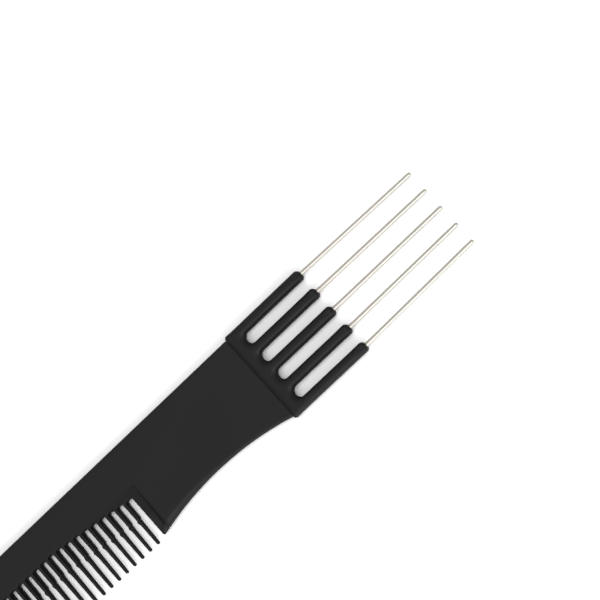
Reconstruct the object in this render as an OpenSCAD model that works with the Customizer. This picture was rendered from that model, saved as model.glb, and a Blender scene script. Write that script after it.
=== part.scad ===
// Teasing comb with five steel lift pins.
// A flat moulded comb carries a stepped tooth row and a hollowed handle.
// A moulded holder caps the end of the handle and grips five wire pins in sleeves.
// X runs from the tooth row to the pins, Y from the tooth tips to the spine, Z is the thickness.

/* [Handle] */
// Length of the handle from the guard beside the teeth to the pin holder
handle_len = 44.7; // [40:0.1:52]
// Thickness of the handle and of the spine
handle_t = 3.2; // [2.8:0.1:3.6]
// Rise of the hollow under the handle above the line of the tooth tips
hollow_rise = 3.35; // [2:0.05:4.5]
// Distance of the waist from the pin holder
waist_x = 23.2; // [18:0.1:26]
// Radius of the hollow under the handle
hollow_r = 86; // [80:1:160]
// Radius of the rounded edge along the hollow
hollow_edge_r = 1.3; // [0.4:0.1:1.4]
// Radius of the rounded edges along the spine
spine_edge_r = 0.7; // [0.2:0.1:1.3]
// Radius of the tip of the guard beside the teeth
guard_tip_r = 0.45; // [0.2:0.05:1]
// Distance from the guard's edge to the crease where the full thickness starts
crease_x = 1.5; // [1:0.1:5]
// Run of the slope at the crease
crease_run = 1.5; // [0.3:0.1:2]

/* [Tooth row] */
// Number of teeth
tooth_n = 32; // [12:1:48]
// Distance from tooth to tooth
tooth_pitch = 2.75; // [2.6:0.01:3.2]
// Distance from the spine to the tooth tips
tooth_reach = 25.6; // [24:0.1:26]
// Width of the spine above the teeth, along its straight stretch
spine_w = 9; // [7:0.1:10]
// Width of the spine beside the handle, where it has widened
spine_end_w = 12.4; // [10.5:0.1:13.5]
// Length of the stretch over which the spine widens
ramp_len = 24; // [12:0.5:30]
// Distance from the spine to the line where the teeth start to thin
taper_start = 9.5; // [7.5:0.1:10.5]
// Thickness at the tooth tips
tip_t = 1.3; // [1:0.1:1.8]
// Width of a tooth at its root
root_w = 1.2; // [1.18:0.01:1.4]
// Width of a tooth just above its shoulder
upper_w = 1.18; // [1.03:0.01:1.18]
// Width of the blade just below the shoulder
blade_w = 0.96; // [0.87:0.01:1.02]
// Width of the blade at its tip
tip_w = 0.84; // [0.6:0.01:0.86]
// Lean of the blade's tip towards the free end
tip_lean = 0.1; // [0:0.01:0.2]
// Distance from the gullet to the shoulder
shoulder_drop = 5.5; // [3:0.1:7]
// Step of each face at the shoulder
shoulder_step = 0.12; // [0.05:0.01:0.3]
// Height of the nub on the left side of a tooth
nub_h = 0.24; // [0.02:0.01:0.26]
// Distance from the shoulder to the nub
nub_drop = 0.55; // [0.35:0.05:1.2]
// Reach of the teeth's edge bevels across a tooth
tooth_bevel = 0.26; // [0.05:0.01:0.3]
// Share of a tooth's thickness that its edge bevels take up
bevel_share = 0.5; // [0.2:0.05:0.8]
// Distance from the guard's edge to the middle of the first tooth
guard_gap = 2.38; // [2.1:0.02:3.5]
// Width of the guard at the free end
end_guard_w = 4.2; // [3:0.1:8]
// Radius of the spine's corner at the free end
end_corner_r = 5; // [1:0.1:7]
// Radius of the tip of the guard at the free end
end_tip_r = 1.2; // [0.4:0.1:1.4]

/* [Pin holder] */
// Thickness of the pin holder
holder_t = 4.0; // [3.8:0.1:5]
// Length of the block between the handle and the slots
block_len = 3.8; // [3.7:0.1:8]
// Length of the sleeves from the slots' roots to their ends
sleeve_len = 21.35; // [12:0.05:36]
// Width of a sleeve
sleeve_w = 2.7; // [2.4:0.1:3.2]
// Radius of the sleeves' long edges and of the slots' rims
sleeve_edge_r = 0.8; // [0.3:0.1:1.1]
// Radius of the sleeves' end corners
sleeve_end_r = 1.1; // [0.3:0.05:1.2]
// Height of the holder's edges above the handle's edges
holder_lip = 0.65; // [0.4:0.05:1.2]
// Radius of the holder's edges beside the handle
seam_edge_r = 0.7; // [0.2:0.05:1]
// Radius of the holder's corners beside the handle
seam_corner_r = 1.0; // [0.4:0.1:1.5]

/* [Tang] */
// Depth of the tang in the holder
tang_len = 2.6; // [1.5:0.1:2.7]
// Thickness of the tang
tang_t = 2.0; // [1.4:0.1:2.4]
// Inset of the tang from the handle's two edges
tang_inset = 1.6; // [1.2:0.1:4]
// Gap between the tang and its socket
tang_fit = 0.03; // [0.02:0.01:0.1]

/* [Pins] */
// Diameter of a pin
pin_d = 1.2; // [0.7:0.05:1.4]
// Length of a pin outside its sleeve
pin_out = 36.6; // [15:0.1:60]
// Inward lean of the outer pins in degrees, of which the inner ones have their share
pin_toe = 1.1; // [0:0.1:1.5]
// Wall between the pins' bores and the socket
pin_web = 0.5; // [0.3:0.05:0.6]
// Gap between a pin and its bore
pin_fit = 0.02; // [0.01:0.01:0.05]

/* [Hidden] */
$fn = 64;
// Number of pins, one node each
pin_n = 5;
plastic = "#2b2b2b";
steel = "#d9d6cf";
// Overlap of pieces of one solid
sink = 0.6;
// Overrun of cuts
over = 1;
// Step from the spine's faces to the faces of the teeth
tooth_reveal = 0.05;
// Angle through which a tooth's tip is rounded
tip_arc = 70;

// Places along X, with the middle of the whole comb at 0
row_len = (tooth_n - 1) * tooth_pitch;
end_gap = tooth_pitch + blade_w / 2 - root_w;
holder_len = block_len + sleeve_len;
total_len = end_guard_w + end_gap + row_len + guard_gap + handle_len + holder_len + pin_out;
free_x = -total_len / 2;
guard_x = free_x + end_guard_w + end_gap + row_len + guard_gap;
seam_x = guard_x + handle_len;
slot_x = seam_x + block_len;
sleeve_x = seam_x + holder_len;
// Length of a pin's bore
pin_grip = holder_len - tang_len - tang_fit - pin_web;

// Width of the handle at a distance along X from its waist
function handle_w(x) = tooth_reach - hollow_rise + hollow_r - sqrt(hollow_r ^ 2 - x ^ 2);

// Places along Y, with the middle pin at 0
holder_w = handle_w(waist_x) + 2 * holder_lip;
pin_pitch = (holder_w - sleeve_w) / (pin_n - 1);
slot_w = pin_pitch - sleeve_w;
spine_y = holder_w / 2 - holder_lip;
tip_y = spine_y - tooth_reach;
handle_low_y = spine_y - handle_w(waist_x);
guard_low_y = spine_y - handle_w(handle_len - waist_x);
hollow_c = [seam_x - waist_x, tip_y + hollow_rise - hollow_r];
// Place of a pin, counted from the spine's side, from -1 to 1
function pin_share(i) = 1 - 2 * i / (pin_n - 1);
// Axis of a pin's sleeve
function pin_y(i) = pin_share(i) * (holder_w - sleeve_w) / 2;
// Depth from the spine that takes in the teeth and the handle
deep = spine_y - min(tip_y, handle_low_y, guard_low_y) + over;

// Heights, with the holder's back face at 0
mid_z = holder_t / 2;

// Distance from the spine to the gullets at a place along X
function gullet(x) = spine_end_w - (spine_end_w - spine_w) * min(1, max(0, (guard_x - x) / ramp_len));
// Thickness of the tooth row at a distance from the spine
function row_t(d) =
  handle_t - (handle_t - tip_t) * max(0, d - taper_start) / (tooth_reach - taper_start);
// Middle of a tooth's blade, counted from the handle
function tooth_x(i) = guard_x - guard_gap - i * tooth_pitch;

// A tooth's left side is nearly straight, and its right side has the shoulder
gullet_r = (tooth_pitch - root_w) / 2;
guard_gullet_r = (guard_gap + blade_w / 2 - root_w) / 2;
// A gap between two teeth, from the right side of the left one, measured from its blade's middle
gap_mid = (tooth_pitch + root_w - blade_w) / 2;

// Rectangle with four round corners
module round_rect(size, r) {
  square([size[0] - 2 * r, size[1]], center = true);
  square([size[0], size[1] - 2 * r], center = true);
  for (x = [-1, 1], y = [-1, 1])
    translate([x * (size[0] / 2 - r), y * (size[1] / 2 - r)])
      circle(r);
}

// Lays an XY outline's X along the object's Y and its Y along Z, and extrudes it along X
module along_x(x0, x1) {
  translate([x0, 0, 0])
    rotate([90, 0, 90])
      linear_extrude(x1 - x0)
        children();
}

// Lays an XY outline's Y along Z, and extrudes it along the object's Y
module along_y(y0, y1) {
  translate([0, y1, 0])
    rotate([90, 0, 0])
      linear_extrude(y1 - y0)
        children();
}

// Corner of a square sheet that lies outside a rounding of radius r, pointing to -X and +Y
module corner_cut(r) {
  difference() {
    translate([-over, -r])
      square([r + over, r + over]);
    translate([r, -r])
      circle(r);
  }
}

// Outline of the spine, the free end's guard and the handle, with round gullets
module body_outline() {
  guard_c = [guard_x + guard_tip_r,
             hollow_c[1] + sqrt((hollow_r + guard_tip_r) ^ 2 - (guard_x + guard_tip_r - hollow_c[0]) ^ 2)];
  difference() {
    union() {
      polygon([
        [free_x, spine_y],
        [guard_x + over, spine_y],
        [guard_x + over, spine_y - spine_end_w - gullet_r],
        [guard_x, spine_y - spine_end_w - gullet_r],
        [guard_x - ramp_len, spine_y - spine_w - gullet_r],
        [free_x, spine_y - spine_w - gullet_r]
      ]);
      translate([free_x, tip_y])
        square([end_guard_w, tooth_reach - end_corner_r]);
      difference() {
        translate([guard_x, spine_y - deep])
          square([handle_len, deep]);
        translate([guard_x - over, spine_y - deep - over])
          square([over + guard_tip_r, guard_c[1] - spine_y + deep + over]);
      }
      translate(guard_c)
        circle(guard_tip_r);
    }
    translate([guard_x - guard_gullet_r, spine_y - spine_end_w - guard_gullet_r])
      circle(guard_gullet_r);
    for (i = [0 : tooth_n - 1])
      let (x = tooth_x(i) - tooth_pitch + gap_mid)
        translate([x, spine_y - gullet(x) - gullet_r])
          circle(gullet_r);
    translate([free_x, spine_y])
      corner_cut(end_corner_r);
    translate([free_x, tip_y])
      mirror([0, 1])
        corner_cut(end_tip_r);
    translate([free_x + end_guard_w, tip_y])
      rotate(180)
        corner_cut(end_tip_r);
  }
}

// Slab of the handle's thickness with rounded edges along the spine
module spine_slab() {
  along_x(free_x - over, seam_x)
    translate([spine_y - deep, mid_z])
      intersection() {
        round_rect([2 * deep, handle_t], spine_edge_r);
        translate([0, -handle_t])
          square([deep, 2 * handle_t]);
      }
}

// Ring with a rounded inner edge, which gives the hollow under the handle its edge
module hollow_ring() {
  ring_w = deep + handle_len;
  translate([hollow_c[0], hollow_c[1], mid_z])
    rotate_extrude($fn = 360)
      intersection() {
        translate([hollow_r + ring_w, 0])
          round_rect([2 * ring_w, handle_t], hollow_edge_r);
        translate([hollow_r, -handle_t])
          square([ring_w, 2 * handle_t]);
      }
}

// Wedge that thins one face of the tooth row, with a slope where the handle starts
module row_wedge() {
  face = handle_t / 2;
  low = tip_t / 2;
  drop = (face - low) * (deep + over - taper_start) / (tooth_reach - taper_start);
  intersection() {
    along_x(free_x - over, guard_x + crease_x + crease_run + over)
      polygon([
        [spine_y - taper_start, face],
        [spine_y - deep - over, face - drop],
        [spine_y - deep - over, face + over],
        [spine_y - taper_start, face + over]
      ]);
    along_y(spine_y - deep - 2 * over, spine_y)
      polygon([
        [free_x - 2 * over, 0],
        [guard_x + crease_x, 0],
        [guard_x + crease_x, low],
        [guard_x + crease_x + crease_run, face],
        [guard_x + crease_x + crease_run, face + 2 * over],
        [free_x - 2 * over, face + 2 * over]
      ]);
  }
}

// Stations of a tooth whose gullet lies g below the spine: distance from the spine, left, right, thickness
function tooth_stations(g) =
  let (
    left = blade_w / 2,
    s = g + shoulder_drop,
    upper_t = row_t(s) - 2 * tooth_reveal,
    blade_t = upper_t - 2 * shoulder_step,
    end_r = tip_w / 2
  ) [
    [g - sink, -left, root_w - left, row_t(g) - 2 * tooth_reveal],
    [g + gullet_r, -left, root_w - left, row_t(g + gullet_r) - 2 * tooth_reveal],
    [s - tooth_bevel, -left, upper_w - left, upper_t],
    [s + tooth_bevel, -left, blade_w - left, blade_t],
    [s + nub_drop, -left - nub_h, blade_w - left, blade_t],
    [s + nub_drop + 2 * nub_h, -left, blade_w - left, blade_t],
    for (a = [0, tip_arc / 2, tip_arc])
      let (
        d = tooth_reach - end_r * (sin(tip_arc) - sin(a)),
        r = end_r * cos(a)
      ) [d, -r - tip_lean, r - tip_lean, tip_t - 2 * (end_r - r)]
  ];

// Eight points round one station, in the tooth's own frame
function tooth_ring(s) =
  let (
    d = -s[0],
    x0 = s[1],
    x1 = s[2],
    h = s[3] / 2,
    w = h * (1 - bevel_share),
    b = min(tooth_bevel, (x1 - x0) / 3)
  ) [
    [x0 + b, d, -h], [x1 - b, d, -h], [x1, d, -w], [x1, d, w],
    [x1 - b, d, h], [x0 + b, d, h], [x0, d, w], [x0, d, -w]
  ];

// One tooth, a loft through its stations
module tooth(g) {
  stations = tooth_stations(g);
  last = len(stations) - 1;
  sides = [for (k = [0 : last - 1], j = [0 : 7])
    let (a = 8 * k + j, b = 8 * k + (j + 1) % 8)
      each [[a, a + 8, b + 8], [a, b + 8, b]]];
  polyhedron(
    points = [for (s = stations) each tooth_ring(s)],
    faces = concat(sides, [[for (j = [0 : 7]) j], [for (j = [7 : -1 : 0]) 8 * last + j]])
  );
}

// Reduced end of the handle, which the holder's socket caps
module tang(gap) {
  low = handle_low_y + tang_inset - gap;
  translate([seam_x - sink, low, mid_z - tang_t / 2 - gap])
    cube([tang_len + sink + gap, spine_y - tang_inset + gap - low, tang_t + 2 * gap]);
}

// Comb with its spine, teeth, guards and handle, one moulding
module comb_body() {
  color(plastic) {
    difference() {
      intersection() {
        linear_extrude(holder_t)
          body_outline();
        spine_slab();
        union() {
          hollow_ring();
          translate([free_x - over, spine_y - deep, 0])
            cube([guard_x - free_x + over, deep + over, holder_t]);
        }
      }
      translate([0, 0, mid_z]) {
        row_wedge();
        mirror([0, 0, 1])
          row_wedge();
      }
    }
    for (i = [0 : tooth_n - 1])
      translate([tooth_x(i), spine_y, mid_z])
        tooth(gullet(tooth_x(i)));
    tang(0);
  }
}

// Cross-section of a gap between two sleeves, with rounded rims
module slot_profile() {
  difference() {
    square([slot_w + 2 * sleeve_edge_r, holder_t + 2 * over], center = true);
    for (side = [-1, 1])
      translate([side * pin_pitch / 2, 0])
        round_rect([sleeve_w, holder_t], sleeve_edge_r);
  }
}

// Slot between two sleeves with a round root
module slot_cut() {
  root = slot_x + slot_w / 2;
  along_x(root, sleeve_x + over)
    slot_profile();
  translate([root, 0, 0])
    rotate_extrude()
      intersection() {
        slot_profile();
        translate([0, -holder_t])
          square([pin_pitch, 2 * holder_t]);
      }
}

// Outline of the holder with rounded sleeve ends
module holder_outline() {
  difference() {
    translate([seam_x, -holder_w / 2])
      square([holder_len - sleeve_end_r, holder_w]);
    translate([seam_x, holder_w / 2])
      corner_cut(seam_corner_r);
    translate([seam_x, -holder_w / 2])
      mirror([0, 1])
        corner_cut(seam_corner_r);
  }
  for (i = [0 : pin_n - 1])
    translate([sleeve_x - sleeve_len / 2, pin_y(i)])
      round_rect([sleeve_len, sleeve_w], sleeve_end_r);
}

// Side view of the holder, rounded beside the handle and at the sleeve ends
module holder_side() {
  translate([seam_x + holder_len / 2, mid_z])
    round_rect([holder_len, holder_t], seam_edge_r);
}

// Lays Z along a pin's axis, from the end of its sleeve towards its tip
module along_pin(i) {
  translate([sleeve_x, pin_y(i), mid_z])
    rotate([0, 90, -pin_toe * pin_share(i)])
      children();
}

// Moulded holder with a socket for the tang and five sleeves for the pins
module pin_holder() {
  color(plastic)
    difference() {
      intersection() {
        linear_extrude(holder_t)
          holder_outline();
        along_y(-holder_w / 2, holder_w / 2)
          holder_side();
        along_x(seam_x, sleeve_x)
          translate([0, mid_z])
            round_rect([holder_w, holder_t], sleeve_edge_r);
      }
      for (i = [0 : pin_n - 2])
        translate([0, (pin_y(i) + pin_y(i + 1)) / 2, mid_z])
          slot_cut();
      tang(tang_fit);
      for (i = [0 : pin_n - 1])
        along_pin(i)
          translate([0, 0, -pin_grip])
            cylinder(h = pin_grip + over, d = pin_d + 2 * pin_fit);
    }
}

// Steel wire pin with a round tip
module lift_pin(i) {
  length = pin_grip - pin_fit + pin_out;
  color(steel)
    along_pin(i)
      translate([0, 0, pin_fit - pin_grip])
        rotate_extrude()
          intersection() {
            union() {
              translate([0, length - pin_d / 2])
                circle(pin_d / 2);
              translate([-pin_d / 2, 0])
                square([pin_d, length - pin_d / 2]);
            }
            square([pin_d, length]);
          }
}

comb_body();
pin_holder();
lift_pin(0);  // lift_pin_1
lift_pin(1);  // lift_pin_2
lift_pin(2);  // lift_pin_3
lift_pin(3);  // lift_pin_4
lift_pin(4);  // lift_pin_5
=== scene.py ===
import math

import bpy
import numpy as np
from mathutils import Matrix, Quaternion, Vector
from mathutils.geometry import delaunay_2d_cdt


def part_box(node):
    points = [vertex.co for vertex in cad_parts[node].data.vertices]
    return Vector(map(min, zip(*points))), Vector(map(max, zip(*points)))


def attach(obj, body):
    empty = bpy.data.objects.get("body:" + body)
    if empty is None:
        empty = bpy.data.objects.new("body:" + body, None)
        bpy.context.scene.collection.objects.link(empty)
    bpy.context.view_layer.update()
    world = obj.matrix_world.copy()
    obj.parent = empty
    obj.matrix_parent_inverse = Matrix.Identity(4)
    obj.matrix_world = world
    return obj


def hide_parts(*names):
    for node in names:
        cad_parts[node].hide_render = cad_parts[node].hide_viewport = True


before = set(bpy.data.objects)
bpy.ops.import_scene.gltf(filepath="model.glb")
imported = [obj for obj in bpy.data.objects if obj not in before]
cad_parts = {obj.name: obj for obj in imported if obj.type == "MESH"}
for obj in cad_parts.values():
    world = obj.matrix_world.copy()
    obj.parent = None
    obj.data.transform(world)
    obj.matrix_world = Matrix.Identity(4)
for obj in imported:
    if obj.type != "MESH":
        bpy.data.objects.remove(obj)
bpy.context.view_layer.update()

# COMB BODY
# Spine, stepped teeth, end guards and hollowed handle are one flat moulding of black nylon.
# It is moulded in two halves of a tool, so every edge is rounded, the walls lean a little towards
# the parting line, and the tooth zone thins towards the tips; its end is held in the pin holder.
MM = 0.001
comb_low, comb_high = (np.array(c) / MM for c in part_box("comb_body"))
holder_low, holder_high = (np.array(c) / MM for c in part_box("pin_holder"))
mid_z = (comb_low[2] + comb_high[2]) / 2
handle_t = comb_high[2] - comb_low[2]
free_x, spine_y, tip_y, seam_x = comb_low[0], comb_high[1], comb_low[1], holder_low[0]
tooth_n, tooth_pitch = 32, 2.75
handle_len, waist_x, hollow_r, hollow_rise = 44.7, 23.2, 86.0, 3.35
spine_w, spine_end_w, ramp_len = 9.0, 12.4, 24.0
root_w, upper_w, blade_w, tip_w, tip_lean = 1.2, 1.18, 0.96, 0.84, -0.1
shoulder_drop, shoulder_half, blade_drop = 5.5, 0.28, 0.5
nub_drop, nub_h, nub_over, nub_under = 0.55, 0.26, 0.3, 0.7
guard_gap, guard_tip_r, guard_lean = 2.38, 0.45, 0.16
end_guard_w, end_corner_r, end_tip_r = 4.2, 5.0, 1.2
taper_start, tip_t = 9.5, 1.3
shoulder_step, step_run, step_loss, step_fade = 0.12, 0.6, 0.9, 6.0
crease_x, crease_run = 1.5, 1.5
rim_in, rim_down, rim_tip, rim_grow, rim_fade = 1.8, 1.2, 0.4, 3.5, 30.0
arch_power = 0.4
guard_x = seam_x - handle_len
tooth_reach = spine_y - tip_y
hollow_c = np.array([seam_x - waist_x, tip_y + hollow_rise - hollow_r])
gap_r = (tooth_pitch - root_w) / 2
guard_gap_r = (guard_gap + guard_lean + blade_w / 2 - root_w) / 2


def smooth_step(t):
    """0 below 0, 1 above 1, and 3t^2 - 2t^3 between."""
    t = np.clip(t, 0, 1)
    return t * t * (3 - 2 * t)


def line(start, end, n):
    """n points in equal steps from start, without the end."""
    t = np.arange(n)[:, None] / n
    return np.array(start) * (1 - t) + np.array(end) * t


def arc(centre, radius, first, last, n):
    """n + 1 points on a circle, from one angle to another in degrees."""
    a = np.radians(np.linspace(first, last, n + 1))
    return np.array(centre) + radius * np.stack([np.cos(a), np.sin(a)], -1)


def arch(r):
    """A gullet's arch of half width r, from left to right about the middle of its foot: cosine and sine
    to a power below 1, which is flatter at the crown than a half circle."""
    b = np.radians(np.linspace(180, 0, 13))
    c, s = np.cos(b), np.sin(b)
    return np.stack([r * np.sign(c) * np.abs(c) ** arch_power, r * s ** arch_power], -1)


def gullet(x):
    """Depth of the gullets below the spine: wide beside the handle, ramping to the straight stretch."""
    return spine_end_w - (spine_end_w - spine_w) * np.clip((guard_x - x) / ramp_len, 0, 1)


def tooth_rims():
    """Outlines of all teeth at once, tooth by depth: the left side runs down with a small bell-shaped
    nub under the shoulder, the tip is an arc, the right side runs up over the shoulder's S-curve, and
    the gullet's arch leads to the next tooth. The blade narrows in a straight taper to its tip."""
    x = guard_x - guard_gap - tooth_pitch * np.arange(tooth_n - 1, -1, -1.0)[:, None]
    left = blade_w / 2
    left_gullet = gullet(x - left - gap_r)
    right_gullet = np.concatenate([left_gullet[1:], [[spine_end_w]]])
    right_r = np.where(np.arange(tooth_n) < tooth_n - 1, gap_r, guard_gap_r)[:, None]
    shoulder = gullet(x) + shoulder_drop
    reach = tooth_reach - tip_w / 2
    above, below = 0.6, 1.8
    t = np.concatenate([np.arange(8) / 8, 1 + np.arange(24) / 24, 2 + np.linspace(0, 1, 17)])

    def depths(root):
        """Stations down a side: from the root to the shoulder, close set over it, and on to the tip."""
        to_shoulder = root + (shoulder - above - root) * t
        over_shoulder = shoulder - above + (above + below) * (t - 1)
        to_tip = shoulder + below + (reach - shoulder - below) * (t - 2)
        return np.where(t < 1, to_shoulder, np.where(t < 2, over_shoulder, to_tip))

    def share(depth):
        """How far down the blade a place is, from 0 just below the shoulder to 1 at the tip."""
        return np.clip((depth - shoulder - blade_drop) / (reach - shoulder - blade_drop), 0, 1)

    depth = depths(left_gullet + gap_r)
    under = depth - shoulder - nub_drop
    nub = nub_h * np.exp(-(under / np.where(under < 0, nub_over, nub_under)) ** 2)
    narrow = (left - tip_w / 2 + tip_lean) * share(depth)
    left_side = np.stack([x - left + narrow - nub, spine_y - depth], -1)
    a = np.radians(np.linspace(180, 360, 13))[1:-1]
    tip_x = x + tip_lean + tip_w / 2 * np.cos(a)
    tip = np.stack([tip_x, tip_y + tip_w / 2 * (1 + np.sin(a)) + 0 * x], -1)
    root = right_gullet + right_r
    depth = depths(root)
    upper = root_w + (upper_w - root_w) * np.clip((depth - root) / (shoulder - root), 0, 1)
    past = smooth_step((depth - shoulder + shoulder_half) / (2 * shoulder_half))
    width = upper + (blade_w - upper) * past
    narrow = (left - tip_w / 2 - tip_lean) * share(depth)
    right_side = np.stack([x - left + width - narrow, spine_y - depth], -1)[:, ::-1]
    foot = np.stack([x - left + root_w + right_r, spine_y - root], -1)
    return np.concatenate([left_side, tip, right_side, foot + arch(right_r)[:, 1:-1]], 1)


def comb_half(x, y):
    """Half thickness of the comb at a place: even over the handle and spine, thinning in a straight
    wedge below the taper line, less a small step under the teeth's shoulders. A sloped crease beside
    the guard carries it back to the handle's full thickness."""
    d = spine_y - y
    full = (handle_t - tip_t) / 2
    fall = np.maximum(0, d - taper_start) / (tooth_reach - taper_start)
    wedge = full * fall
    wall = full * smooth_step((guard_x + crease_x + crease_run - x) / crease_run)
    clear = 0.3
    among = (x < guard_x - clear) & (x > free_x + end_guard_w + clear)
    step = shoulder_step * smooth_step((d - gullet(x) - shoulder_drop + step_run / 2) / step_run) * among
    fade = 1 - step_loss * smooth_step((d - tooth_reach + step_fade) / step_fade)
    return handle_t / 2 - np.minimum(wedge, wall) - step * fade


def comb_outline():
    """Closed outline of the comb, anticlockwise from the seam's low corner, with the sizes of the
    rounded edge at each point: how far it reaches inwards, how far down from the face, and how near
    it is to a chamfer. The hollow's rim is narrow at the guard's tip, soon widest, and narrows again
    towards the seam."""
    low_y = hollow_c[1] + math.sqrt(hollow_r ** 2 - waist_x ** 2)
    inner_x = free_x + end_guard_w
    first_foot = spine_y - gullet(inner_x + gap_r) - gap_r
    guard_foot = spine_y - spine_end_w - guard_gap_r
    guard_c = np.array([guard_x + guard_tip_r, 0])
    guard_c[1] = hollow_c[1] + math.sqrt((hollow_r + guard_tip_r) ** 2 - (guard_c[0] - hollow_c[0]) ** 2)
    meet = math.degrees(math.atan2(*(guard_c - hollow_c)[::-1]))
    leave = math.degrees(math.asin((low_y - hollow_c[1]) / hollow_r))
    rims = tooth_rims().reshape(-1, 2)
    tooth_half = comb_half(*rims.T)
    stretches = [
        (np.array([[seam_x, low_y]]), 0.8, 0.8),
        (line((seam_x, spine_y), (free_x + end_corner_r, spine_y), 70), 0.7, 0.7),
        (arc((free_x + end_corner_r, spine_y - end_corner_r), end_corner_r, 90, 180, 20), 0.7, 0.7),
        (line((free_x, spine_y - end_corner_r), (free_x, tip_y + end_tip_r), 12)[1:], 0.6, 0.6),
        (arc((free_x + end_tip_r, tip_y + end_tip_r), end_tip_r, 180, 270, 8), 0.5, 0.4),
        (arc((inner_x - end_tip_r, tip_y + end_tip_r), end_tip_r, 270, 360, 8), 0.5, 0.4),
        (line((inner_x, tip_y + end_tip_r), (inner_x, first_foot), 14)[1:], 0.4, 0.4),
        (np.array((inner_x + gap_r, first_foot)) + arch(gap_r)[:-1], 0.3, 0.4),
        (rims, 0.15 + 0.12 * tooth_half, 0.55 * tooth_half),
        (line((guard_x + guard_lean, guard_foot), (guard_x, guard_c[1]), 24), 0.35, 0.4),
        (arc(guard_c, guard_tip_r, 180, meet + 180, 10), 0.35, 0.4),
        (arc(hollow_c, hollow_r, meet, leave, 60)[1:-1], rim_in, rim_down),
    ]
    points = np.concatenate([s[0] for s in stretches])
    inward = np.concatenate([np.full(len(s[0]), s[1]) for s in stretches])
    down = np.concatenate([np.full(len(s[0]), s[2]) for s in stretches])
    straight = np.ones(len(points))
    in_hollow = np.arange(len(points)) >= len(points) - len(stretches[-1][0])
    on = points[in_hollow, 0] - guard_x
    share, grow = smooth_step(on / rim_fade), smooth_step(on / rim_grow)
    inward[in_hollow] = rim_tip + (rim_in - share - rim_tip) * grow
    down[in_hollow] = rim_tip + (rim_down - 0.4 * share - rim_tip) * grow
    straight[in_hollow] = 1 + 0.5 * (1 - share)
    return points, inward, down, straight


def inside(p, ring):
    """True for points inside a closed ring: a ray to the right crosses it an odd number of times."""
    a, b = ring[None], np.roll(ring, -1, 0)[None]
    straddles = (a[..., 1] > p[:, None, 1]) != (b[..., 1] > p[:, None, 1])
    rise = np.where(straddles, b[..., 1] - a[..., 1], 1)
    cross = a[..., 0] + (p[:, None, 1] - a[..., 1]) / rise * (b[..., 0] - a[..., 0])
    return (straddles & (p[:, None, 0] < cross)).sum(1) % 2 == 1


def nearest(p, ring):
    """Distance from each point to the nearest point of a ring."""
    return np.sqrt(((p[:, None] - ring[None]) ** 2).sum(-1).min(1))


def ring_quads(levels, n):
    """Faces between that many rings of n points, numbered ring after ring."""
    k, j = np.meshgrid(np.arange(levels - 1), np.arange(n), indexing="ij")
    after = (j + 1) % n
    quads = np.stack([k * n + j, k * n + after, (k + 1) * n + after, (k + 1) * n + j], -1)
    return quads.reshape(-1, 4).tolist()


def new_piece(name, vertices, faces):
    """A piece from vertices in mm, shaded smooth except where faces meet at more than 50 degrees."""
    mesh = bpy.data.meshes.new(name)
    mesh.from_pydata(vertices * MM, [], faces)
    piece = bpy.data.objects.new(name, mesh)
    bpy.context.scene.collection.objects.link(piece)
    mesh.shade_smooth()
    mesh.set_sharp_from_angle(angle=math.radians(50))
    return piece


def moulded_slab(name, points, inward, down, straight, half, inner, square_ends=()):
    """Closed flat moulding. A rounded edge is carried along the outline on both faces, each ring set
    in along the outline's normal and down from the face by powers of cosine and sine: a quarter
    ellipse where straight is 1, nearing a chamfer where it is 2. The walls lean out to the parting
    line in the middle, and each face inside its last ring is filled with triangles. Points in
    square_ends set their rings in along Y alone, which keeps a flat end square."""
    rounds, draft, clear = 8, 0.03, 0.12
    ahead, behind = np.roll(points, -1, 0) - points, points - np.roll(points, 1, 0)
    ahead /= np.linalg.norm(ahead, axis=1, keepdims=True)
    behind /= np.linalg.norm(behind, axis=1, keepdims=True)
    along = ahead + behind
    along /= np.linalg.norm(along, axis=1, keepdims=True)
    normal = np.stack([-along[:, 1], along[:, 0]], -1)
    for k in square_ends:
        normal[k] = (0, -np.sign(points[k, 1]))
    angle = np.radians(np.linspace(0, 90, rounds))
    away = 1 - np.cos(angle)[:, None].clip(0) ** straight
    below = 1 - np.sin(angle)[:, None] ** straight
    top = points[None] + normal[None] * (draft + (inward - draft) * away)[..., None]
    height = half(top[..., 0], top[..., 1]) - down * below
    rings = np.concatenate([top[::-1], points[None], top])
    heights = np.concatenate([-height[::-1], 0 * height[:1], height])
    n, levels = len(points), len(rings)
    keep = inside(inner, rings[-1]) & (nearest(inner, rings[-1]) > clear)
    cap = np.concatenate([rings[-1], inner[keep]])
    edges = np.stack([np.arange(n), (np.arange(n) + 1) % n], -1)
    _, _, faces, origin, _, _ = delaunay_2d_cdt(cap.tolist(), edges.tolist(), [], 1, 1e-6)
    source = np.array(next(zip(*origin)))
    tris = source[np.array(faces)]
    cap_z = half(cap[:, 0], cap[:, 1])
    rim = np.concatenate([rings, heights[..., None]], -1).reshape(-1, 3)
    fill = np.column_stack([cap[n:], cap_z[n:]])
    vertices = np.concatenate([rim, fill, fill * (1, 1, -1)])
    vertices[:, 2] += mid_z
    up = np.where(tris < n, tris + (levels - 1) * n, tris - n + levels * n)
    low = np.where(tris < n, tris, tris - n + levels * n + len(fill))[:, ::-1]
    return new_piece(name, vertices, ring_quads(levels, n) + up.tolist() + low.tolist())


def grid(xs, ys):
    """Every point with one of the given x and one of the given y."""
    return np.stack(np.meshgrid(xs, ys), -1).reshape(-1, 2)


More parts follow.
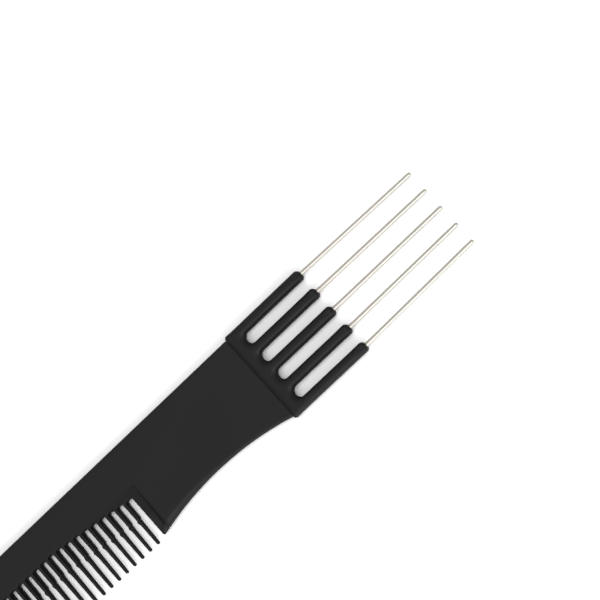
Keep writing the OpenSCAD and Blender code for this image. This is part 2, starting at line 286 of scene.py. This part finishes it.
def comb_inner_points():
    """Points on the comb's faces: a coarse grid, with more beside the crease and along the taper line,
    each moved by a hair so that they triangulate one way only."""
    hair = 0.02
    coarse = grid(np.arange(free_x + 1, seam_x, 2.0), np.arange(tip_y, spine_y, 1.6))
    crease = grid(np.arange(guard_x, guard_x + 4.4, 0.25), np.arange(tip_y, spine_y - 8, 0.5))
    taper_y = spine_y - taper_start + np.array([-0.3, 0, 0.4])
    taper = grid(np.arange(free_x + 1, guard_x + 4, 1.0), taper_y)
    p = np.concatenate([coarse, crease, taper])
    return p + np.random.default_rng(7).uniform(-hair, hair, p.shape)


def linear(code):
    """Linear colour of an sRGB hex value."""
    c = np.array([int(code[i:i + 2], 16) for i in (1, 3, 5)]) / 255
    return (*np.where(c <= 0.04045, c / 12.92, ((c + 0.055) / 1.055) ** 2.4), 1)


def add(tree, kind, links=(), **settings):
    """Adds a node. Settings are its own properties, or values of the sockets of that name or number;
    links join another node's output to one of its inputs."""
    node = tree.nodes.new("ShaderNode" + kind)
    for key, value in settings.items():
        if hasattr(node, key):
            setattr(node, key, value)
        else:
            place = int(key[1:]) if key[0] == "_" and key[1:].isdigit() else key.replace("_", " ")
            node.inputs[place].default_value = value
    for source, socket in links:
        tree.links.new(source, node.inputs[socket])
    return node


def new_material(name):
    """A material without nodes, and its node tree."""
    material = bpy.data.materials.new(name)
    material.use_nodes = True
    tree = material.node_tree
    tree.nodes.clear()
    return material, tree


def moulded_nylon(name, colour, worn_colour, roughness):
    """Black nylon, moulded in a spark-eroded tool: an even satin sheen over a fine pebble, cloudy in
    gloss where it is handled, and rubbed a little greyer along the edges. The sheen is turned down on
    steep walls, which is painted shade that darkens them, and is lower in the thinned tooth zone. The
    pebble is drawn coarser than the real one, so that it shows."""
    pebble_mm, cloud_mm, pebble_depth_mm = 0.35, 14.0, 0.05
    material, tree = new_material(name)
    place = add(tree, "TexCoord").outputs["Object"]
    pebble = add(tree, "TexNoise", [(place, "Vector")], Scale=1 / (pebble_mm * MM),
                 Detail=3.0, Roughness=0.6)
    cloud = add(tree, "TexNoise", [(place, "Vector")], Scale=1 / (cloud_mm * MM),
                Detail=4.0, Roughness=0.6)
    gloss = add(tree, "MapRange", [(cloud.outputs[0], "Value")], From_Min=0.3, From_Max=0.7,
                To_Min=roughness - 0.06, To_Max=roughness + 0.07)
    edge = add(tree, "NewGeometry").outputs["Pointiness"]
    wear = add(tree, "MapRange", [(edge, "Value")], From_Min=0.52, From_Max=0.62, To_Min=0.0, To_Max=1.0)
    patchy = add(tree, "Math", [(wear.outputs[0], 0), (cloud.outputs[0], 1)], operation="MULTIPLY")
    tint = add(tree, "Mix", [(patchy.outputs[0], "Factor")], data_type="RGBA",
               _6=linear(colour), _7=linear(worn_colour))
    bump = add(tree, "Bump", [(pebble.outputs[0], "Height")], Strength=0.12, Distance=pebble_depth_mm * MM)
    # Painted shade: the specular level falls with the surface's tilt, so steep walls show darker than the
    # lamps alone make them.
    across = add(tree, "TexCoord").outputs["Normal"]
    upright = add(tree, "VectorMath", [(across, 0)], operation="ABSOLUTE")
    upright = add(tree, "SeparateXYZ", [(upright.outputs[0], 0)]).outputs["Z"]
    sheen = add(tree, "MapRange", [(upright, "Value")], From_Min=0.25, From_Max=0.55,
                To_Min=0.02, To_Max=0.225)
    thinned = add(tree, "Attribute", attribute_name="thinned").outputs["Fac"]
    share = add(tree, "MapRange", [(thinned, "Value")], To_Min=1.0, To_Max=0.75)
    sheen = add(tree, "Math", [(sheen.outputs[0], 0), (share.outputs[0], 1)], operation="MULTIPLY")
    shader = add(tree, "BsdfPrincipled", [(tint.outputs[2], "Base Color"), (gloss.outputs[0], "Roughness"),
                                          (sheen.outputs[0], "Specular IOR Level"),
                                          (bump.outputs[0], "Normal")], IOR=1.53)
    add(tree, "OutputMaterial", [(shader.outputs[0], "Surface")])
    return material


def mark_thinned(piece):
    """Writes 1 where the tooth zone is thinner than the handle and 0 elsewhere, and fades it out down
    the blades."""
    thinner, blade_fade = 0.06, 2.0
    place = np.empty(3 * len(piece.data.vertices))
    piece.data.vertices.foreach_get("co", place)
    x, y = place.reshape(-1, 3)[:, :2].T / MM
    thinned = smooth_step((handle_t / 2 - comb_half(x, y)) / thinner)
    thinned *= 1 - smooth_step((spine_y - y - gullet(x) - shoulder_drop) / blade_fade)
    piece.data.attributes.new("thinned", "FLOAT", "POINT").data.foreach_set("value", thinned)


comb = moulded_slab("comb_moulding", *comb_outline(), comb_half, comb_inner_points(), square_ends=(0, 1))
mark_thinned(comb)
comb.data.materials.append(moulded_nylon("moulded_black_nylon", "#141414", "#201f1f", 0.44))
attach(comb, "root")
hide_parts("comb_body")

# PIN HOLDER
# A thicker moulding of the same black plastic, pressed and bonded over the handle's end.
# Five rounded sleeves with slots between them run out from its block and grip the wire pins.
holder_t = holder_high[2] - holder_low[2]
holder_w = holder_high[1] - holder_low[1]
sleeve_end_x = holder_high[0]
pin_n, edge_w, sleeve_w, block_len = 5, 2.7, 2.86, 3.8
sleeve_corner_r, seam_low_r, seam_high_r = 1.1, 0.15, 0.85
sleeve_in, sleeve_down, side_run = 1.3, 1.15, 1.1
seam_flat, seam_fade, end_run, end_fade, corner_clear, corner_run = 0.6, 2.0, 3.5, 2.0, 1.0, 1.5
pin_step = (holder_w - edge_w) / (pin_n - 1)
slot_r = (pin_step - sleeve_w) / 2
sleeve_y = (holder_w - edge_w) / 2 - pin_step * np.arange(pin_n)
root_x = seam_x + block_len + slot_r


def holder_outline():
    """Closed outline of the holder, anticlockwise from its lowest sleeve: out along each sleeve, round
    its end, back to the slot's round root, and home along the spine's side and the seam."""
    round_x = sleeve_end_x - sleeve_corner_r
    top, bottom = holder_w / 2, -holder_w / 2
    fingers = []
    for y in sleeve_y[::-1]:
        low, high = np.clip((y - sleeve_w / 2, y + sleeve_w / 2), bottom, top)
        fingers += [
            line((root_x, low), (round_x, low), 24)[1:],
            arc((round_x, low + sleeve_corner_r), sleeve_corner_r, 270, 360, 12),
            arc((round_x, high - sleeve_corner_r), sleeve_corner_r, 0, 90, 12),
            line((round_x, high), (root_x, high), 24)[1:],
            arc((root_x, high + slot_r), slot_r, 270, 90, 24),
        ]
    home = [
        line((root_x, top), (seam_x + seam_high_r, top), 6),
        arc((seam_x + seam_high_r, top - seam_high_r), seam_high_r, 90, 180, 10),
        line((seam_x, top - seam_high_r), (seam_x, bottom + seam_low_r), 30)[1:],
        arc((seam_x + seam_low_r, bottom + seam_low_r), seam_low_r, 180, 270, 6),
        line((seam_x + seam_low_r, bottom), (root_x, bottom), 6)[1:],
        np.array([[root_x, bottom]]),
    ]
    return np.concatenate(fingers[:-1] + home)


def holder_rim(points):
    """Sizes of the holder's rounded edge at each point of its outline: how far inwards, how far down,
    and how near to a chamfer. It is wide along the sleeves, tighter at their ends and on the spine's
    side, low along the seam, and wide and shallow in the slots' roots. Near a corner of the seam it is
    held under what the corner's radius leaves room for."""
    x, y = points.T
    near_seam = 1 - smooth_step((x - seam_x - seam_flat) / seam_fade)
    off_corner = smooth_step((holder_w / 2 - corner_clear - np.abs(y)) / corner_run)
    near_end = smooth_step((x - sleeve_end_x + end_run) / end_fade)
    in_root = smooth_step((root_x - x) / slot_r) * (1 - near_seam)
    in_root *= np.abs(y) < holder_w / 2 - corner_clear
    spine_side = smooth_step((y - holder_w / 2 + side_run) / side_run) * (1 - near_seam)
    inward = sleeve_in - 0.3 * near_end + 0.3 * in_root
    inward = inward + near_seam * (0.3 * off_corner - 0.45) - 0.2 * spine_side
    down = sleeve_down - 0.3 * near_end - 0.25 * in_root
    down = down - 0.7 * near_seam - 0.35 * spine_side * (1 - near_end)
    straight = 1 + 0.6 * near_seam * off_corner + 0.5 * in_root
    corner_r = np.where(y > 0, seam_high_r, seam_low_r)
    from_corner = np.maximum(x - seam_x, holder_w / 2 - np.abs(y))
    room = 0.75 * corner_r + 0.7 * np.maximum(from_corner - corner_r, 0)
    return np.minimum(inward, room), down, straight


def holder_half(x, y):
    """Half thickness of the holder, the same all over."""
    return holder_t / 2 + 0 * x


points = holder_outline()
holder_inner = grid(np.arange(seam_x + 0.8, sleeve_end_x, 1.2), np.arange(-holder_w / 2, holder_w / 2, 0.75))
holder = moulded_slab("pin_holder_moulding", points, *holder_rim(points), holder_half, holder_inner)
holder.data.materials.append(moulded_nylon("moulded_black_nylon_holder", "#141314", "#201f1f", 0.44))
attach(holder, "root")
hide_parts("pin_holder")

# LIFT PINS
# Five lengths of drawn stainless wire, ground round at the tips and polished, held fast in the sleeves.
# The outer ones lean inwards by about a degree, so the tips stand a little closer than the sleeves.
pin_r, pin_toe, pin_grip = 0.6, 1.1, 22.0


def wire_pin(name, y, tip_x, lean):
    """Round wire about a leaned axis: each station's radius is that of the wire, falling on a
    quarter circle at the tip, and the flat inner end closes on the axis."""
    shank_n, tip_n, side_n = 25, 9, 24
    length = (tip_x - sleeve_end_x - pin_r) / math.cos(lean)
    run = np.concatenate([[0], np.linspace(0, 1, shank_n), np.ones(tip_n)])
    bend = np.concatenate([np.zeros(1 + shank_n), np.radians(np.linspace(10, 90, tip_n))])
    along = -pin_grip + (length + pin_grip) * run + pin_r * np.sin(bend)
    radius = pin_r * np.cos(bend)
    radius[0] = 0
    turn = np.radians(np.arange(360, 0, -360 / side_n))
    x = sleeve_end_x + along[:, None] * math.cos(lean) + radius[:, None] * np.sin(turn) * math.sin(lean)
    across = y - along[:, None] * math.sin(lean) + radius[:, None] * np.sin(turn) * math.cos(lean)
    z = mid_z + radius[:, None] * np.cos(turn)
    body = np.stack([x, across, z], -1)[1:-1].reshape(-1, 3)
    ends = np.array([[x[0, 0], across[0, 0], mid_z], [x[-1, 0], across[-1, 0], mid_z]])
    first, last = len(body), len(body) + 1
    base = len(body) - side_n
    j = np.arange(side_n)
    after = (j + 1) % side_n
    back = np.stack([np.full(side_n, first), after, j], -1)
    front = np.stack([np.full(side_n, last), base + j, base + after], -1)
    faces = ring_quads(len(body) // side_n, side_n) + back.tolist() + front.tolist()
    return new_piece(name, np.concatenate([body, ends]), faces)


def drawn_stainless():
    """Stainless wire, drawn and polished: bright, a little warm, with fine lines along the draw, which
    are drawn coarser than the real ones, so that they show."""
    line_mm, line_depth_mm, line_stretch = 0.15, 0.004, 0.02
    material, tree = new_material("polished_drawn_stainless")
    place = add(tree, "TexCoord").outputs["Object"]
    stretch = add(tree, "Mapping", [(place, "Vector")], Scale=(line_stretch, 1.0, 1.0))
    lines = add(tree, "TexNoise", [(stretch.outputs[0], "Vector")], Scale=1 / (line_mm * MM),
                Detail=3.0, Roughness=0.6)
    gloss = add(tree, "MapRange", [(lines.outputs[0], "Value")], From_Min=0.3, From_Max=0.7,
                To_Min=0.3, To_Max=0.38)
    bump = add(tree, "Bump", [(lines.outputs[0], "Height")], Strength=0.05, Distance=line_depth_mm * MM)
    shader = add(tree, "BsdfPrincipled", [(gloss.outputs[0], "Roughness"), (bump.outputs[0], "Normal")],
                 Base_Color=linear("#c8c4bb"), Metallic=1.0)
    add(tree, "OutputMaterial", [(shader.outputs[0], "Surface")])
    return material


steel = drawn_stainless()
for i in range(pin_n):
    node = f"lift_pin_{i + 1}"
    lean = math.radians(pin_toe * (1 - 2 * i / (pin_n - 1)))
    pin = wire_pin(f"wire_pin_{i + 1}", sleeve_y[i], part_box(node)[1][0] / MM, lean)
    pin.data.materials.append(steel)
    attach(pin, "root")
    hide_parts(node)

# STUDIO
# White paper lies under the comb. It is lifted to white for the camera and in reflections, and it keeps
# the shadow. An overhead strip that stays out of reflections and a softbox on the tooth side are the
# lamps. The soft surround is darker low on the spine's side and at the comb's two ends.
floor_mesh = bpy.data.meshes.new("table")
corner = np.array([(-1, -1, 0), (1, -1, 0), (1, 1, 0), (-1, 1, 0)]) * 3.0
floor_mesh.from_pydata(corner, [], [(0, 1, 2, 3)])
floor = bpy.data.objects.new("table", floor_mesh)
bpy.context.scene.collection.objects.link(floor)

paper, tree = new_material("white_paper")
ray = add(tree, "LightPath").outputs
mirrored = add(tree, "Math", [(ray["Is Glossy Ray"], 0), (ray["Is Transmission Ray"], 1)],
               operation="MAXIMUM")
seen = add(tree, "Math", [(mirrored.outputs[0], 0), (ray["Is Camera Ray"], 1)], operation="MAXIMUM")
shade = add(tree, "MapRange", [(seen.outputs[0], "Value")], To_Min=0.9, To_Max=1.3)
sheet = add(tree, "BsdfDiffuse", [(shade.outputs[0], "Color")])
add(tree, "OutputMaterial", [(sheet.outputs[0], "Surface")])
floor.data.materials.append(paper)

# The surround lights the comb at 0.76 of what its reflections show.
world = bpy.data.worlds.new("soft_surround")
world.use_nodes = True
tree = world.node_tree
tree.nodes.clear()
brightest = Vector((0.0, -0.5, 0.866))
by_axis = Vector((-0.45, 0.05, 0.0))
ray = add(tree, "LightPath").outputs
towards = add(tree, "TexCoord").outputs["Generated"]
facing = add(tree, "VectorMath", [(towards, 0)], operation="DOT_PRODUCT", _1=brightest)
level = add(tree, "MapRange", [(facing.outputs["Value"], "Value")], interpolation_type="SMOOTHSTEP",
            From_Min=-0.3, From_Max=1.0, To_Min=0.5, To_Max=1.07)
squares = add(tree, "VectorMath", [(towards, 0), (towards, 1)], operation="MULTIPLY")
sides = add(tree, "VectorMath", [(squares.outputs[0], 0)], operation="DOT_PRODUCT", _1=by_axis)
level = add(tree, "Math", [(level.outputs[0], 0), (sides.outputs["Value"], 1)], operation="ADD")
mirrored = add(tree, "Math", [(ray["Is Glossy Ray"], 0), (ray["Is Transmission Ray"], 1)],
               operation="MAXIMUM")
share = add(tree, "MapRange", [(mirrored.outputs[0], "Value")], To_Min=0.76, To_Max=1.0)
level = add(tree, "Math", [(level.outputs[0], 0), (share.outputs[0], 1)], operation="MULTIPLY")
light = add(tree, "Background", [(level.outputs[0], "Strength")], Color=(1, 1, 1, 1))
white = add(tree, "Background", Color=(1, 1, 1, 1), Strength=1.0)
either = add(tree, "MixShader", [(ray["Is Camera Ray"], 0), (light.outputs[0], 1), (white.outputs[0], 2)])
add(tree, "OutputWorld", [(either.outputs[0], "Surface")])
bpy.context.scene.world = world

aim = Vector((0.045, 0.0, 0.0))


def softbox(name, place, size_x, size_y, power):
    """A soft rectangular lamp that faces the middle of the comb."""
    lamp = bpy.data.lights.new(name, "AREA")
    lamp.shape, lamp.size, lamp.size_y, lamp.energy = "RECTANGLE", size_x, size_y, power
    box = bpy.data.objects.new(name, lamp)
    bpy.context.scene.collection.objects.link(box)
    box.location = aim + Vector(place)
    box.rotation_mode = "QUATERNION"
    box.rotation_quaternion = (aim - box.location).to_track_quat("-Z", "Y")
    return box


softbox("side_softbox", (0.08, -0.7, 0.7), size_x=0.6, size_y=0.45, power=3.0)
strip = softbox("overhead_strip", (0.0, 0.13, 1.0), size_x=1.0, size_y=0.3, power=3.1)
strip.visible_glossy = False

# CAMERA
# Nearly overhead, turned about its axis so the comb crosses the frame from low left to the pins.
camera = bpy.data.cameras.new("camera")
camera.sensor_width, camera.lens = 36.0, 109.34
camera.clip_start, camera.clip_end = 0.01, 20.0
viewer = bpy.data.objects.new("camera", camera)
bpy.context.scene.collection.objects.link(viewer)
target = Vector((58.9225, 7.322, 2.417)) * MM
roll = math.radians(81.34)
viewer.location = Vector((115.9825, -64.738, 442.927)) * MM
viewer.rotation_mode = "QUATERNION"
ahead = (target - viewer.location).to_track_quat("-Z", "Y")
viewer.rotation_quaternion = ahead @ Quaternion((0, 0, 1), -roll)
bpy.context.scene.camera = viewer
bpy.context.scene.view_settings.view_transform = "Standard"

bpy.context.view_layer.update()
